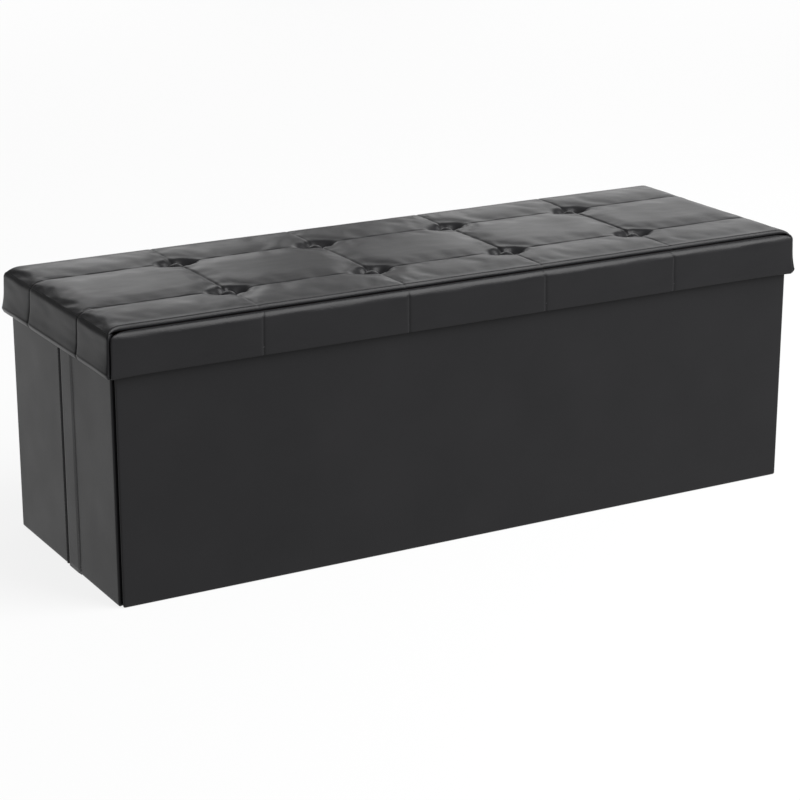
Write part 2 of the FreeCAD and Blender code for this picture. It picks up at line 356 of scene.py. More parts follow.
def leather_material(name, dark, light, roughness):
    """Coated faux leather: fine pebble grain, faint creases, slightly uneven sheen."""
    leather = NodeMaterial(name)
    pebble = leather.texture("TexVoronoi", Scale=700)
    pebble.feature = "SMOOTH_F1"
    set_sockets(pebble, Smoothness=0.6)
    crease = leather.noise(scale=260, detail=4)
    cloud = leather.noise(scale=9, detail=3)
    grain = leather.bump(pebble.outputs["Distance"], distance=0.25 * MM, strength=0.35)
    return leather.finish(
        leather.mix(cloud, dark, light),
        leather.spread(cloud, roughness - 0.05, roughness + 0.05),
        leather.bump(crease, distance=0.3 * MM, strength=0.25, under=grain),
        IOR=1.22,
    )


def lining_material(name, dark, light):
    """Non-woven lining: matted fibres pressed together with a grid of small bond points."""
    lining = NodeMaterial(name)
    fibres = lining.noise(scale=900, detail=6)
    cloud = lining.noise(scale=14, detail=3)
    bonds = lining.texture("TexVoronoi", Scale=520, Randomness=0.15)
    dots = lining.bump(bonds.outputs["Distance"], distance=0.3 * MM, strength=0.5)
    return lining.finish(
        lining.mix(cloud, dark, light),
        lining.spread(fibres, 0.8, 0.98),
        lining.bump(fibres, distance=0.3 * MM, strength=0.4, under=dots),
        Sheen_Weight=0.2,
    )


def woven_material(name, dark, light, weave_scale, roughness=0.8):
    """Plain weave from two crossed waves, for ribbon, tape, cord and thread."""
    weave = NodeMaterial(name)
    relief = None
    for thread_axis in ("X", "Y"):
        wave = weave.texture("TexWave", Scale=weave_scale, Distortion=0.4)
        wave.bands_direction = thread_axis
        relief = weave.bump(
            wave.outputs["Fac"], distance=0.2 * MM, strength=0.5, under=relief)
    cloud = weave.noise(scale=60, detail=4)
    return weave.finish(
        weave.mix(cloud, dark, light),
        weave.spread(cloud, roughness - 0.1, roughness + 0.1),
        relief,
    )


def fibreboard_material(name):
    """Medium-density fibreboard: warm brown, speckled, with a soft fuzz."""
    board = NodeMaterial(name)
    speckle = board.noise(scale=1100, detail=5)
    cloud = board.noise(scale=20, detail=4)
    tone = board.add("Math")
    tone.operation = "MULTIPLY_ADD"
    tone.inputs[1].default_value = 0.5
    board.links.new(speckle, tone.inputs[0])
    board.links.new(board.spread(cloud, 0.0, 0.5), tone.inputs[2])
    return board.finish(
        board.mix(tone.outputs[0], (0.20, 0.12, 0.06), (0.46, 0.32, 0.19)),
        board.spread(speckle, 0.75, 0.95),
        board.bump(speckle, distance=0.2 * MM, strength=0.4),
    )


def foam_material(name):
    """Open-cell foam, cream, with painted shade in its pores as dark spots."""
    foam = NodeMaterial(name)
    cells = foam.texture("TexVoronoi", Scale=1200).outputs["Distance"]
    # painted shade: darker towards each cell centre, standing in for the shade inside the
    # pores
    tone = foam.spread(cells, 0.0, 1.0)
    return foam.finish(
        foam.mix(tone, (0.55, 0.48, 0.30), (0.86, 0.80, 0.62)),
        foam.spread(cells, 0.85, 1.0),
        foam.bump(cells, distance=0.4 * MM, strength=0.6),
    )


def moulded_material(name, dark, light, metallic, roughness, streaks=None):
    """Plastic or drawn steel with fine marks, streaked along one axis if asked."""
    moulded = NodeMaterial(name)
    marks = moulded.noise(scale=400, detail=3, squeeze=streaks)
    return moulded.finish(
        moulded.mix(marks, dark, light),
        moulded.spread(marks, roughness - 0.08, roughness + 0.08),
        moulded.bump(marks, distance=0.05 * MM, strength=0.3),
        Metallic=metallic,
    )


LEATHER = leather_material(
    "faux_leather", (0.0095, 0.0095, 0.0102), (0.0135, 0.0133, 0.0142), roughness=0.34)
LINING = lining_material("lining", (0.016, 0.016, 0.018), (0.028, 0.028, 0.030))
TAPE = woven_material("tape", (0.012, 0.012, 0.013), (0.022, 0.022, 0.024), 125)
THREAD = woven_material("thread", (0.012, 0.012, 0.013), (0.024, 0.024, 0.026), 200, 0.4)
CORD = woven_material("cord", (0.45, 0.43, 0.38), (0.62, 0.60, 0.54), 150)
FIBREBOARD = fibreboard_material("fibreboard")
FOAM = foam_material("foam")
STEEL = moulded_material(
    "steel_wire", (0.38, 0.38, 0.40), (0.6, 0.6, 0.62), metallic=1.0, roughness=0.35,
    streaks=(1, 1, 8))
PLASTIC = moulded_material(
    "plastic", (0.55, 0.54, 0.5), (0.68, 0.67, 0.63), metallic=0.0, roughness=0.5)

NODE_MATERIALS = {
    "faux_leather": LEATHER,
    "lining_cloth": LINING,
    "fibreboard": FIBREBOARD,
    "foam": FOAM,
    "ribbon": TAPE,
    "cord": CORD,
    "washer_plastic": PLASTIC,
    "staple_steel": STEEL,
}


def dress_cad_nodes():
    """Gives every CAD node the finish of its record slot."""
    for part in frame["record"]["subparts"]:
        node = frame["nodes"][part["node"]]
        material = NODE_MATERIALS[part["material_slot"]]
        node.data.materials.clear()
        node.data.materials.append(material)


# ---- sewn top of the lid ----

def side_edge(x):
    """Distance from the middle to the top's front and back seams, along the length."""
    fade = dome(LID_X - np.abs(x), INSET_FADE)
    return LID_Y - END_INSET - (SIDE_INSET - END_INSET) * fade


def edge_drop(x, y):
    """How far the top falls below its flat height towards its sewn edges."""
    ends = SHOULDER_DROP * (1 - dome(LID_X - np.abs(x), SHOULDER_REACH))
    sides = SIDE_DROP * (1 - dome(side_edge(x) - np.abs(y), SIDE_REACH))
    return np.hypot(ends, sides)


def nearest(values, centres):
    """Distance from each value to the nearest centre."""
    gaps = np.asarray(values)[:, None] - np.asarray(centres)[None, :]
    return np.min(np.abs(gaps), axis=1)


def on_seam(gap, width):
    """1 on a seam line, fading to 0 a width away."""
    return np.exp(-(gap / width) ** 2)


def smooth_fall(distance, inner, outer):
    """1 up to inner, falling smoothly to 0 at outer."""
    t = np.clip((distance - inner) / (outer - inner), 0, 1)
    return (1 - t * t * (3 - 2 * t)) ** 1.3


def dimple_depth(x, y):
    """Depth of the dimples round the buttons, with folds running out from each."""
    depth = np.zeros_like(x)
    for index, (bx, by) in enumerate(BUTTONS):
        dx, dy = x - bx, y - by
        distance = np.hypot(dx, dy)
        angle = np.arctan2(dy, dx)
        star = 0.26 * np.cos(2 * angle) + 0.07 * np.cos(4 * angle)
        star += 0.04 * np.sin(7 * angle + 2.3 * index)
        pull = smooth_fall(distance / (1 + star), DIMPLE_INNER, DIMPLE_OUTER)
        depth = np.maximum(depth, DIMPLE_DEPTH * pull)
    return depth


def sewn_top():
    """The top without its thickness: its sewn form, then the padding, then the seams."""
    xs = graded([-TOP_X, *COLUMNS, TOP_X], TOP_PITCH)
    ys = graded([-TOP_Y, *ROWS, TOP_Y], TOP_PITCH)
    gx, gy = [g.ravel() for g in np.meshgrid(xs, ys, indexing="ij")]
    on_edge = (np.abs(gx) > TOP_X - SEAM_REACH) | (np.abs(gy) > TOP_Y - SEAM_REACH)
    beyond = np.clip((np.abs(gy) - ROWS[1]) / (TOP_Y - ROWS[1]), 0, 1)
    gy = gy + np.sign(gy) * beyond * (side_edge(gx) - TOP_Y)
    gz = TOP_FLAT_Z - edge_drop(gx, gy) - dimple_depth(gx, gy)
    top = make_object(
        "lid_top", np.stack([gx, gy, gz], axis=1), grid_faces(len(xs), len(ys)), LEATHER)

    column = nearest(gx, COLUMNS)
    row = nearest(gy, ROWS)
    held = np.zeros(len(gx))
    held[row < SEAM_REACH] = ROW_HOLD
    held[column < SEAM_REACH] = COLUMN_HOLD
    held[side_edge(gx) - np.abs(gy) < EDGE_HOLD_WIDTH] = EDGE_HOLD
    held[np.hypot(column, row) < DIMPLE_HOLD_RADIUS] = DIMPLE_HOLD
    held[on_edge | (np.hypot(column, row) < DIMPLE_FIXED_RADIUS)] = 1.0
    simulate_padding(top, held)

    refine(top, 1)
    crease_seams(top)
    return top


def simulate_padding(top, held):
    """Lets the foam push the leather up between its seams, then bakes the result."""
    start = points_of(top)
    group = top.vertex_groups.new(name="held")
    for weight in np.unique(held[held > 0]):
        group.add(np.nonzero(held == weight)[0].tolist(), float(weight), "REPLACE")
    cloth = top.modifiers.new("padding", "CLOTH")
    settings = cloth.settings
    settings.quality = 8
    settings.mass = 0.25
    settings.air_damping = 3
    settings.tension_stiffness = 30
    settings.compression_stiffness = 30
    settings.shear_stiffness = 12
    settings.bending_stiffness = 0.6
    settings.vertex_group_mass = "held"
    settings.pin_stiffness = 4
    settings.use_pressure = True
    settings.uniform_pressure_force = PADDING_PRESSURE
    settings.shrink_min = -LEATHER_EASE
    settings.effector_weights.gravity = 0
    cloth.collision_settings.use_collision = False
    scene = bpy.context.scene
    for step in range(1, SIMULATED_FRAMES + 1):
        scene.frame_set(step)
    apply_modifiers(top)
    scene.frame_set(1)
    moved = points_of(top) - start
    length = np.linalg.norm(moved, axis=1, keepdims=True)
    moved *= np.minimum(1, PUFF_LIMIT / np.maximum(length, 1e-9))
    set_points(top, start + moved)


def crease_seams(top):
    """Presses the sharp seam lines and fine surface unevenness into the refined top."""
    points = points_of(top)
    x, y = points[:, 0], points[:, 1]
    wander = SEAM_WANDER * ripple(points, scale=35 * MM, seed=6.4)
    column = nearest(x + wander, COLUMNS)
    row = nearest(y + wander, ROWS)
    away = np.clip((np.hypot(column, row) - BUTTON_RADIUS) / SEAM_START, 0, 1)
    between = np.where(np.abs(y) < ROWS[1], 1.0, 0.5)
    unevenness = 0.7 + 0.6 * ripple(points, scale=28 * MM, seed=4.4)
    pulled = 0.5 + 0.5 * on_seam(np.hypot(column, row), SEAM_PULL_REACH)
    groove = COLUMN_GROOVE * between * pulled * on_seam(column, COLUMN_GROOVE_WIDTH)
    groove += ROW_GROOVE * unevenness * on_seam(row, ROW_GROOVE_WIDTH)
    wave = 0.4 * MM * ripple(points, scale=60 * MM, seed=3.1, stretch=(1.6, 1, 1))
    wave += 0.14 * MM * ripple(points, scale=13 * MM, seed=8.7, stretch=(2, 1, 1))
    points[:, 2] += away * (wave - groove)
    set_points(top, points)


def build_lid_top():
    """The padded top, which stands for the cover and the foam."""
    top = sewn_top()
    thicken(top, TOP_THICKNESS)
    finish_piece(top, "lid", "faux_leather", "lid_top_cover", "lid_foam")


# ---- skirts of the lid ----

def shoulder_inset(z):
    """How far the round shoulder at the lid's ends lies inside the end faces."""
    return SHOULDER_REACH * (1 - dome(TOP_FLAT_Z - z, SHOULDER_DROP))


# Depth below the seam of the points that carry on the shoulder, and the groove of the
# seam at the first of them, both in millimetres.
SHOULDER_STEPS = (
    0.8, 0.5, 0.2, 0.5, 1.1, 1.8, 2.7, 3.8, 5.0, 6.4, 8.0, 10.0, 12.5, 16.0, 21.0, 26.0)
SHOULDER_GROOVE = (4.0, 2.0, 1.0, 0.2)
# The hem down its face, over its bead, round its edge and up the inside: millimetres out
# from the face and above the hem's edge.
HEM_OUTLINE = (
    (0.1, 24.0), (0.4, 19.5), (0.7, 15.5), (1.0, 12.8), (1.3, 10.8), (1.6, 9.2),
    (1.9, 8.2), (2.3, 7.3), (2.5, 6.3), (2.2, 5.0), (1.2, 2.5), (0.4, 0.8),
    (-0.4, 0.0), (-1.8, 0.0), (-3.8, 0.0), (-4.7, 0.5), (-5.0, 1.5), (-5.0, 5.0),
    (-5.0, 10.0), (-5.0, 15.0), (-5.0, 19.0),
)


def skirt_profile(inset, roll, seam_z):
    """Outline of a skirt from the seam, down its face, round the hem and up inside.

    roll is 1 along the front and back, whose skirts start with a bulging roll below a
    deep seam, and 0 at the ends, where they carry on the shoulder. Entries: distance out
    from the face, height, and whether the height is from the seam or from the hem."""
    rolled = [
        (-inset - 3 * MM, -5 * MM), (-inset, -5 * MM), (-inset + 2.0 * MM, -4 * MM),
        (-inset + 2.8 * MM, -2.2 * MM),
    ]
    flank = inset - 3.2 * MM
    for a in np.radians(np.linspace(-20, 90, 8)):
        height = ROLL_HEIGHT * (math.cos(a) - 1) + 0.2 * MM
        rolled.append((-flank * (1 - math.sin(a)), height))
    rolled += [(0.0, -ROLL_HEIGHT - depth) for depth in (2 * MM, 5 * MM, 9 * MM, 13 * MM)]
    entries = []
    for (out, height), step, groove in zip_longest(
            rolled, SHOULDER_STEPS, SHOULDER_GROOVE, fillvalue=0.0):
        drop = -step * MM
        plain = -float(shoulder_inset(seam_z + drop)) - groove * MM
        mixed = drop + (height - drop) * roll
        entries.append((plain + (out - plain) * roll, mixed, True))
    bead = 1 - (1 - FRONT_BEAD) * roll
    for out, height in HEM_OUTLINE:
        entries.append((out * (bead if out > 0 else 1) * MM, height * MM, False))
    return entries


def skirt_piece(name, side, along_x):
    """One side of the skirt, mitred into its neighbours at the upright corners."""
    half, other = (LID_X, LID_Y) if along_x else (LID_Y, LID_X)
    seams = list(COLUMNS) if along_x else list(ROWS)
    puff = FRONT_PUFF if along_x else END_PUFF
    path = graded([-half, *seams, half], SKIRT_PITCH, 0.9)
    corner = half - np.abs(path)
    tuck = CORNER_TUCK * (1 - dome(corner, CORNER_ROUND))
    seam_gap = nearest(path, seams)
    groove = on_seam(seam_gap, SKIRT_SEAM_WIDTH) * SKIRT_SEAM_DEPTH
    belly = puff * (0.6 + 0.4 * dome(seam_gap, BELLY_SEAM_REACH))
    belly *= dome(corner, BELLY_CORNER_REACH)
    if along_x:
        insets = LID_Y - side_edge(path)
        rolls = dome(corner, INSET_FADE)
        top_edge = TOP_FLAT_Z - edge_drop(path, side_edge(path))
    else:
        insets = np.full_like(path, END_INSET)
        rolls = np.zeros_like(path)
        edge_x = np.full_like(path, TOP_X)
        top_edge = TOP_FLAT_Z - edge_drop(edge_x, path * (side_edge(TOP_X) / half))
    sag = HEM_SAG * np.clip(1 - corner / HEM_SAG_REACH, 0, 1) ** 2

    points = []
    for i, s in enumerate(path):
        profile = skirt_profile(insets[i], rolls[i], top_edge[i])
        for out, height, from_seam in profile:
            if from_seam:
                z = top_edge[i] + height
            else:
                z = HEM_Z + height - sag[i] * (height < 9 * MM)
            face = np.clip((top_edge[i] - z) / (top_edge[i] - HEM_Z - BELLY_HEIGHT), 0, 1)
            shift = 0.0
            if from_seam or out > -2.5 * MM:
                shift = belly[i] * face - groove[i] * (1 if out > -1 * MM else 0.5) - tuck[i]
            o = out + shift
            along = s * (half + o) / half
            across = side * (other + o)
            points.append((along, across, z) if along_x else (across, along, z))
    points = np.array(points)
    skirt = make_object(name, points, grid_faces(len(path), len(profile)), LEATHER)
    refine(skirt, 1)
    wrinkle_skirt(skirt, side, along_x, corner_half=half)
    face_outward(skirt, side, along_x)
    thicken(skirt, LID_SKIN)
    return skirt


def make_board(name, outline, node, softening):
    """Board of the lid over an outline in plan, as high as the CAD node it stands for."""
    low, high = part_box(node)
    points = [(x, y, z) for z in (low.z, high.z) for x, y in outline]
    count = len(outline)
    faces = [tuple(reversed(range(count))), tuple(range(count, 2 * count))]
    for i in range(count):
        j = (i + 1) % count
        faces.append((i, j, j + count, i + count))
    board = make_object(name, points, faces, FIBREBOARD)
    turn_away_from(board, (0, 0, 0))
    soften = board.modifiers.new("soften", "BEVEL")
    soften.width = softening
    soften.segments = 2
    apply_modifiers(board)
    finish_piece(board, "lid", "fibreboard", node)
    return board


def skirt_board(name, side, along_x):
    """Thin board inside a skirt, stopping short of the sewn corners."""
    node = f"lid_{name}_skirt_board"
    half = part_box(node)[1][0 if along_x else 1] - BOARD_END_GAP
    face = side * ((LID_Y if along_x else LID_X) - BOARD_INSET)
    back = face - side * BOARD_THICKNESS
    outline = [(-half, face), (half, face), (half, back), (-half, back)]
    if not along_x:
        outline = [(y, x) for x, y in outline]
    make_board(f"lid_{name}_board", outline, node, softening=0.4 * MM)


def wrinkle_skirt(skirt, side, along_x, corner_half):
    """Shallow lengthwise wrinkles on the skirt's outer face."""
    points = points_of(skirt)
    axis = 1 if along_x else 0
    face = (LID_Y if along_x else LID_X) - 3 * MM
    outside = np.clip((np.abs(points[:, axis]) - face) / (2 * MM), 0, 1)
    corner = np.clip((corner_half - np.abs(points[:, 1 - axis])) / (15 * MM), 0, 1)
    height = np.clip((points[:, 2] - HEM_Z - 6 * MM) / (10 * MM), 0, 1)
    stretch = (4, 1, 1) if along_x else (1, 4, 1)
    wave = 0.5 * MM * ripple(points, scale=11 * MM, seed=5.3, stretch=stretch)
    wave += 0.7 * MM * ripple(points, scale=60 * MM, seed=1.9, stretch=stretch)
    points[:, axis] += side * wave * outside * corner * height
    set_points(skirt, points)


def face_outward(obj, side, along_x):
    """Turns the faces so that the skin's outer side looks away from the ottoman."""
    mesh = obj.data
    axis = 1 if along_x else 0
    total = sum(polygon.normal[axis] * polygon.area for polygon in mesh.polygons
                if abs(polygon.center[axis]) > (LID_Y if along_x else LID_X) - 2 * MM)
    if total * side < 0:
        mesh.flip_normals()


def build_lid_board():
    """Board under the padding, its corners cut off to make room for the sewn corners."""
    cut = 2 * CORNER_TUCK
    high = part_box("lid_board")[1]
    x, y = high.x, high.y
    outline = [
        (-x + cut, -y), (x - cut, -y), (x, -y + cut), (x, y - cut),
        (x - cut, y), (-x + cut, y), (-x, y - cut), (-x, -y + cut),
    ]
    board = make_board("lid_panel", outline, "lid_board", softening=0.6 * MM)
    board.data.shade_flat()


def build_skirts():
    """Four skirts with their boards, and the stitches of the hem."""
    for name, side, along_x in (
        ("front", -1, True),
        ("back", 1, True),
        ("left", -1, False),
        ("right", 1, False),
    ):
        skirt = skirt_piece(f"lid_{name}_skirt", side, along_x)
        finish_piece(skirt, "lid", "faux_leather", f"lid_{name}_skirt_cover")
        skirt_board(name, side, along_x)
    stitches = hem_stitches()
    finish_piece(stitches, "lid", "faux_leather")


# ---- stitches ----

# One stitch: place along it from -1 to 1, and its girth as a share of its radius.
STITCH_RINGS = ((-1, 0.35), (-0.6, 0.95), (0, 1.1), (0.6, 0.95), (1, 0.35))


def stitch_rows(name, rows, length, radius, pitch):
    """Thread stitches along straight rows; a row is (start, end, outward direction)."""
    points, faces = [], []
    ring = 6
    last = (len(STITCH_RINGS) - 1) * ring
    for start, end, outward in rows:
        start, end = np.array(start), np.array(end)
        outward = np.array(outward, float)
        span = end - start
        count = int(np.linalg.norm(span) / pitch)
        along = span / np.linalg.norm(span)
        sideways = np.cross(along, outward)
        for k in range(count):
            centre = start + span * (k + 0.5) / count
            base = len(points)
            for t, girth in STITCH_RINGS:
                sink = radius * 0.9 * t * t
                middle = centre + along * t * length / 2 - outward * sink
                for j in range(ring):
                    a = 2 * math.pi * j / ring
                    turn = sideways * math.cos(a) + outward * math.sin(a)
                    points.append(middle + turn * radius * girth)
            for i in range(0, last, ring):
                for j in range(ring):
                    a, b = base + i + j, base + i + (j + 1) % ring
                    faces.append((a, b, b + ring, a + ring))
            faces.append(tuple(base + j for j in reversed(range(ring))))
            faces.append(tuple(base + last + j for j in range(ring)))
    return make_object(name, points, faces, THREAD)


def hem_stitches():
    """Topstitching above the lid's hem, on all four sides."""
    z = HEM_Z + HEM_STITCH_HEIGHT
    x, y = LID_X + 0.1 * MM, LID_Y + 0.1 * MM
    margin = 8 * MM
    rows = []
    for side in (-1, 1):
        front = side * y
        rows.append(((-x + margin, front, z), (x - margin, front, z), (0, side, 0)))
        end = side * x
        rows.append(((end, -y + margin, z), (end, y - margin, z), (side, 0, 0)))
    return stitch_rows(
        "lid_hem_stitches", rows, length=3.6 * MM, radius=0.35 * MM, pitch=5.2 * MM)


# ---- buttons ----

def build_buttons():
    """Covered buttons: low domes that turn in at the rim, with gathered leather there."""
    rings, spokes = 12, 48
    rise = BUTTON_TOP_Z - BUTTON_BASE_Z + BUTTON_SINK / 2
    points, faces = [], []
    for index, (bx, by) in enumerate(BUTTONS):
        base = len(points)
        for i in range(rings + 1):
            t = i / rings
            r = BUTTON_RADIUS * math.sin(0.62 * math.pi * t)
            level = BUTTON_BASE_Z - BUTTON_SINK
            level += rise * (0.5 + 0.5 * math.cos(0.98 * math.pi * t))
            for j in range(spokes):
                a = 2 * math.pi * j / spokes
                pleat = math.sin(GATHERS * a + index * 1.7 + 1.3 * math.sin(3 * a))
                girth = r * (1 + GATHER_DEPTH * t ** 3 * pleat)
                points.append((
                    bx + girth * math.cos(a),
                    by + girth * math.sin(a),
                    level + 0.25 * MM * t * math.sin(5 * a + index),
                ))
        for i in range(rings):
            for j in range(spokes):
                a, b = base + i * spokes + j, base + i * spokes + (j + 1) % spokes
                faces.append((a, a + spokes, b + spokes, b))
        faces.append(tuple(base + rings * spokes + j for j in reversed(range(spokes))))
        faces.append(tuple(base + j for j in range(spokes)))
    buttons = make_object("buttons", points, faces, LEATHER)
    finish_piece(buttons, "lid", "faux_leather", "tuft_buttons")


# ---- wall skins ----

def box_shell(us, ws, zs):
    """Grid shell of a box, open on its low-w side. Returns points (u, w, z) and faces."""
    index, points, faces = {}, [], []

    def vertex(u, w, z):
        key = (round(u, 6), round(w, 6), round(z, 6))
        if key not in index:
            index[key] = len(points)
            points.append((u, w, z))
        return index[key]

    def sheet(a_line, b_line, place):
        for a0, a1 in zip(a_line, a_line[1:]):
            for b0, b1 in zip(b_line, b_line[1:]):
                corners = (place(a0, b0), place(a1, b0), place(a1, b1), place(a0, b1))
                faces.append(tuple(vertex(*c) for c in corners))

    sheet(us, zs, lambda u, z: (u, ws[-1], z))
    for u, order in ((us[0], 1), (us[-1], -1)):
        sheet(ws[::order], zs, lambda w, z, u=u: (u, w, z))
    for z, order in ((zs[0], 1), (zs[-1], -1)):
        sheet(us, ws[::order], lambda u, w, z=z: (u, w, z))
    return np.array(points), faces


def rounded(points, low, high, radius):
    """Rounds the edges of a box shell; the open low-w side stays square."""
    core_low = np.array(low) + radius
    core_high = np.array(high) - radius
    core_low[1] = low[1] - 1
    core = np.clip(points, core_low, core_high)
    away = points - core
    length = np.linalg.norm(away, axis=1, keepdims=True)
    return core + away / np.maximum(length, 1e-9) * np.minimum(radius, length)


def edge_lines(low, high, pitch, radius):
    """Coordinates from low to high, with extra lines through the rounded edges."""
    *near, margin = [radius * t for t in EDGE_LINES]
    inner = graded([low + margin, high - margin], pitch, ease=0)
    return np.array([*(low + t for t in near), *inner, *(high - t for t in reversed(near))])


def wall_skin(name, low_u, high_u, thickness, place, seed):
    """Wrapped leather of one wall panel. place() takes (u, depth, z) to the ottoman."""
    us = edge_lines(low_u, high_u, WALL_PITCH, EDGE_ROUND)
    zs = edge_lines(0.0, WALL_TOP, WALL_PITCH, EDGE_ROUND)
    ws = edge_lines(-EDGE_ROUND * EDGE_LINES[-1], thickness, 3 * MM, EDGE_ROUND)
    ws = np.array([0.0, *ws[ws > 0.4 * MM]])
    flat, faces = box_shell(us, ws, zs)
    shaped = rounded(flat, (low_u, 0.0, 0.0), (high_u, thickness, WALL_TOP), EDGE_ROUND)
    wave = WALL_WAVE * ripple(flat, scale=150 * MM, seed=seed)
    wave += 0.1 * MM * ripple(flat, scale=30 * MM, seed=seed + 4)
    rim = np.minimum(flat[:, 0] - low_u, high_u - flat[:, 0])
    rim = np.minimum(rim, np.minimum(flat[:, 2], WALL_TOP - flat[:, 2]))
    outer = np.clip(flat[:, 1] / thickness * 4 - 3, 0, 1) * np.clip(rim / WALL_EDGE_FADE, 0, 1)
    shaped[:, 1] += wave * outer
    skin = make_object(name, [place(*p) for p in shaped], faces, LEATHER)
    turn_away_from(skin, place((low_u + high_u) / 2, 0.0, WALL_TOP / 2))
    thicken(skin, WALL_SKIN)
    return skin


def build_long_wall(name, side, seed):
    """Front or back wall, whose skin narrows inwards to make room for the end walls."""
    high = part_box(f"{name}_cover")[1].x
    thickness = OUTER_Y - INNER_Y
    inner_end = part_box(f"{name}_lining")[1].x + COVER_THICKNESS
    slope = (high - inner_end) / thickness

    def place(u, w, z):
        squeeze = (inner_end + slope * w) / high
        return (u * squeeze, side * (INNER_Y + w), z)

    skin = wall_skin(f"{name}_skin", -high, high, thickness, place, seed)
    finish_piece(skin, name, "faux_leather", f"{name}_cover")


def build_end_half(name, side_x, side_y, seed):
    """One half of an end wall, from the crease to the corner."""
    low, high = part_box(f"{name}_cover")
    near = min(abs(low.y), abs(high.y))
    far = max(abs(low.y), abs(high.y))
    lining_low, lining_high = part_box(f"{name}_lining")
    inner_far = max(abs(lining_low.y), abs(lining_high.y)) + COVER_THICKNESS
    thickness = OUTER_X - INNER_X
    slope = (far - inner_far) / thickness

    def place(u, w, z):
        share = (u - near) / (far - near)
        y = near + share * (inner_far + slope * w - near)
        return (side_x * (INNER_X + w), side_y * y, z)

    skin = wall_skin(f"{name}_skin", near, far, thickness, place, seed)
    finish_piece(skin, name, "faux_leather", f"{name}_cover")


def build_walls():
    """Skins of all six wall panels, each with its own seed for its unevenness."""
    build_long_wall("back", 1, seed=2.0)
    build_long_wall("front", -1, seed=7.0)
    build_end_half("left_rear", -1, 1, seed=11.0)
    build_end_half("left_front", -1, -1, seed=13.0)
    build_end_half("right_rear", 1, 1, seed=17.0)
    build_end_half("right_front", 1, -1, seed=19.0)


# ---- creases, tapes, floor ----

def build_crease(side, name, rear, front):
    """Leather strip sewn over the crease of an end, pressed into the crease."""
    low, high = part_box(f"{name}_crease_strip")
    face = max(abs(low.x), abs(high.x))
    ys = graded([low.y, -3 * CREASE_WIDTH, 0.0, high.y], 1.2 * MM, 0.3)
    zs = np.linspace(low.z + 1 * MM, high.z - 0.4 * MM, 50)
    front_taper, rear_taper = STRIP_TAPERS
    points = []
    for y in ys:
        dip = CREASE_DEPTH * math.exp(-(y / CREASE_WIDTH) ** 2)
        near_edge = max(1 - (y - low.y) / front_taper, 1 - (high.y - y) / rear_taper, 0)
        x = side * (face - dip - STRIP_EDGE_SINK * near_edge)
        points += [(x, y, z) for z in zs]
    strip = make_object(f"{name}_crease", points, grid_faces(len(ys), len(zs)), LEATHER)
    turn_away_from(strip, (0, 0, WALL_TOP / 2))
    thicken(strip, STRIP_SKIN)
    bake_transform(strip)
    finish_piece(strip, None, "faux_leather", f"{name}_crease_strip")
    for y, body in ((high.y - 1.8 * MM, rear), (low.y + 2.2 * MM, front)):
        x = side * face
        margin = 4 * MM
        rows = [((x, y, margin), (x, y, WALL_TOP - margin), (side, 0, 0))]
        thread = stitch_rows(
            f"{body}_crease_stitches", rows, length=3.2 * MM, radius=0.3 * MM, pitch=4.8 * MM)
        finish_piece(thread, body, "faux_leather")


def corner_strip(name, line, heights):
    """A thin tape: line is its path in plan, drawn between two heights."""
    zs = np.linspace(*heights, 30)
    points = [(x, y, z) for x, y in line for z in zs]
    tape = make_object(name, points, grid_faces(len(line), len(zs)), TAPE)
    turn_away_from(tape, (line[0][0] * 1.05, line[-1][1] * 1.1, heights[1] / 2))
    thicken(tape, TAPE_THICKNESS)
    return tape


def tape_line(side_x, side_y, low, high):
    """Plan of a corner tape: along the long wall, round the corner, along the end."""
    inner = min(abs(low.x), abs(high.x))
    outer = max(abs(low.x), abs(high.x)) - TAPE_THICKNESS
    far = max(abs(low.y), abs(high.y)) - TAPE_THICKNESS
    near = min(abs(low.y), abs(high.y))
    bend = 1.2 * MM
    line = [(x, far) for x in np.linspace(inner, outer - bend, 6)]
    for k in range(1, 5):
        a = math.radians(90 - 18 * k)
        line.append((outer - bend + bend * math.cos(a), far - bend + bend * math.sin(a)))
    line += [(outer, y) for y in np.linspace(far - bend, near, 6)]
    return [(side_x * x, side_y * y) for x, y in line]


def build_corner_tapes():
    """Tapes in the upright corners: three turn with their corner, the open one is cut."""
    for name, side_x, side_y, wall, end in (
        ("left_rear_tape", -1, 1, "back", "left_rear"),
        ("right_rear_tape", 1, 1, "back", "right_rear"),
        ("left_front_tape", -1, -1, "front", "left_front"),
    ):
        low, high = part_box(name)
        line = tape_line(side_x, side_y, low, high)
        tape = corner_strip(f"{name}_cloth", line, (low.z, high.z))
        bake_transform(tape)
        finish_piece(tape, None, "ribbon", name)
    name = "right_front_tape"
    low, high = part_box(name)
    line = tape_line(1, -1, low, high)
    on_wall = [(x, y) for x, y in line if x < INNER_X - OPEN_CORNER]
    on_end = [(x, y) for x, y in line if abs(y) < INNER_Y - OPEN_CORNER]
    for part, body in ((on_wall, "front"), (on_end, "right_front")):
        tape = corner_strip(f"{body}_tape_cloth", part, (low.z, high.z))
        finish_piece(tape, body, "ribbon", name)


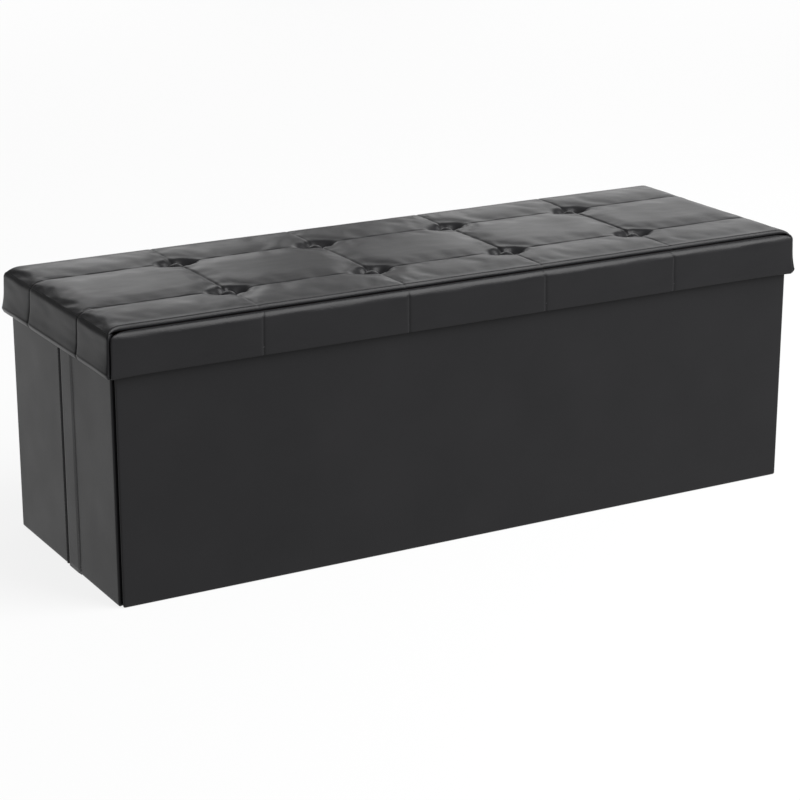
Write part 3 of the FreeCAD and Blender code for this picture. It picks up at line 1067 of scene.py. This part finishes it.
def build_floor_tapes():
    """Tapes between the long walls and the two halves of the floor."""
    for name, side, wall in (("floor_rear", 1, "back"), ("floor_front", -1, "front")):
        low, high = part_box(f"{name}_tape")
        wall_y = max(abs(low.y), abs(high.y)) - TAPE_THICKNESS
        inner_y = min(abs(low.y), abs(high.y))
        bottom = low.z + TAPE_THICKNESS
        section = [(wall_y, z) for z in np.linspace(high.z, bottom + 1.5 * MM, 6)]
        section += [(wall_y - 0.4 * MM, bottom + 0.4 * MM)]
        section += [(y, bottom) for y in np.linspace(wall_y - 1.5 * MM, inner_y, 6)]
        xs = np.linspace(low.x, high.x, 60)
        points = [(x, side * y, z) for x in xs for y, z in section]
        faces = grid_faces(len(xs), len(section))
        tape = make_object(f"{name}_tape_cloth", points, faces, TAPE)
        turn_away_from(tape, (0, side * (wall_y + 0.1), -0.1))
        thicken(tape, TAPE_THICKNESS)
        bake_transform(tape)
        finish_piece(tape, None, "ribbon", f"{name}_tape")


def board_tip():
    """Half length of the floor boards at the middle fold, where their mitres end."""
    mesh = frame["nodes"]["floor_rear_board"].data
    return max(v.co.x for v in mesh.vertices if v.co.y < 2 * MM)


def flat_cloth(name, left, right, ys, heights):
    """Level cloth between two edge lines x = left(y) and x = right(y)."""
    columns, rows = 60, 61
    points = []
    for y in np.linspace(*ys, rows):
        for x in np.linspace(left(y), right(y), columns):
            points.append((x, y, heights[1]))
    cloth = make_object(name, points, grid_faces(rows, columns), LINING)
    turn_away_from(cloth, (0, 0, -1))
    thicken(cloth, heights[1] - heights[0])
    return cloth


def build_floor_cloth():
    """Cloth under the floor: a middle sheet under the boards, and at each end a gusset in two
    flat halves, each fixed to one half of an end panel, which folds inwards."""
    low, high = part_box("floor_cloth")
    reach, wide = high.x, high.y
    heights = (low.z, high.z)
    foot = reach - GUSSET_FOOT
    tip = board_tip()

    def mitre(y):
        return tip + (foot - tip) * abs(y) / wide

    middle = flat_cloth(
        "floor_cloth_middle", lambda y: -mitre(y), mitre, (low.y, high.y), heights)
    finish_piece(middle, "back", "lining_cloth", "floor_cloth")
    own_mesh(middle)
    for body, side, ys in (
        ("left_rear", -1, (0.0, wide)),
        ("left_front", -1, (-wide, 0.0)),
        ("right_rear", 1, (0.0, wide)),
        ("right_front", 1, (-wide, 0.0)),
    ):
        gusset = flat_cloth(
            f"{body}_gusset",
            lambda y, side=side: side * mitre(y),
            lambda y, side=side: side * reach,
            ys,
            heights,
        )
        finish_piece(gusset, body, "lining_cloth", "floor_cloth")
        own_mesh(gusset)


def build_pull_loop():
    """Ribbon loop lying on the rear floor half, its ends sewn down together."""
    low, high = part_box("floor_pull_loop")
    half = (high.x - low.x) / 2
    length = high.y - low.y
    rise = high.z - low.z - RIBBON_THICKNESS
    count = 40
    line = []
    for t in np.linspace(0, 1, count):
        y = low.y + length * math.sin(math.pi * t)
        lift = rise * t + 0.9 * MM * math.sin(math.pi * t) ** 2
        line.append((y, low.z + RIBBON_THICKNESS + lift))
    xs = np.linspace(-half, half, 9)
    points = [(x, y, z) for y, z in line for x in xs]
    loop = make_object("pull_ribbon", points, grid_faces(count, len(xs)), TAPE)
    thicken(loop, RIBBON_THICKNESS)
    finish_piece(loop, "floor_rear", "ribbon", "floor_pull_loop")


# ---- build ----

dress_cad_nodes()
build_lid_top()
build_skirts()
build_lid_board()
build_buttons()
build_walls()
build_crease(-1, "left", "left_rear", "left_front")
build_crease(1, "right", "right_rear", "right_front")
build_corner_tapes()
build_floor_tapes()
build_floor_cloth()
build_pull_loop()

# ---- studio ----

def direction(azimuth, elevation):
    """Unit vector towards an azimuth, from +Y towards +X, and an elevation, in degrees."""
    a, e = math.radians(azimuth), math.radians(elevation)
    return Vector((math.sin(a) * math.cos(e), math.cos(a) * math.cos(e), math.sin(e)))


def look_back_along(obj, away):
    """Turns a light or camera to face the way opposite to a direction."""
    obj.rotation_euler = away.to_track_quat("Z", "Y").to_euler()


def softbox(name, azimuth, elevation, distance, size, radiance):
    """Rectangular light that faces the ottoman."""
    light = bpy.data.lights.new(name, "AREA")
    light.shape = "RECTANGLE"
    light.size, light.size_y = size
    light.energy = radiance * math.pi * size[0] * size[1]
    holder = bpy.data.objects.new(name, light)
    away = direction(azimuth, elevation)
    holder.location = Vector(LIGHTS_AIM) + away * distance
    look_back_along(holder, away)
    bpy.context.scene.collection.objects.link(holder)


def studio_floor():
    """Pale floor that glows a little, so that the shadow on it stays faint."""
    floor = NodeMaterial("pale_floor")
    set_sockets(
        floor.shader,
        Base_Color=(0.06, 0.06, 0.06, 1),
        Roughness=0.9,
        Emission_Color=(1, 1, 1, 1),
        Emission_Strength=FLOOR_GLOW,
    )
    corners = [(x * FLOOR_REACH, y * FLOOR_REACH, 0) for x, y in
               ((-1, -1), (1, -1), (1, 1), (-1, 1))]
    make_object("floor", corners, [(0, 1, 2, 3)], floor.material)


def studio():
    """Room light, floor, softboxes and the camera."""
    scene = bpy.context.scene
    scene.view_settings.view_transform = "Standard"
    world = bpy.data.worlds.new("studio")
    world.use_nodes = True
    background = world.node_tree.nodes["Background"]
    set_sockets(background, Color=(1, 1, 1, 1), Strength=ROOM_LIGHT)
    scene.world = world
    studio_floor()
    for box in SOFTBOXES:
        softbox(*box)

    camera = bpy.data.cameras.new("camera")
    camera.lens = CAMERA_LENS
    camera.sensor_width = SENSOR_WIDTH
    holder = bpy.data.objects.new("camera", camera)
    scene.collection.objects.link(holder)
    holder.location = CAMERA_PLACE
    look_back_along(holder, direction(CAMERA_AZIMUTH, CAMERA_ELEVATION))
    scene.camera = holder


studio()
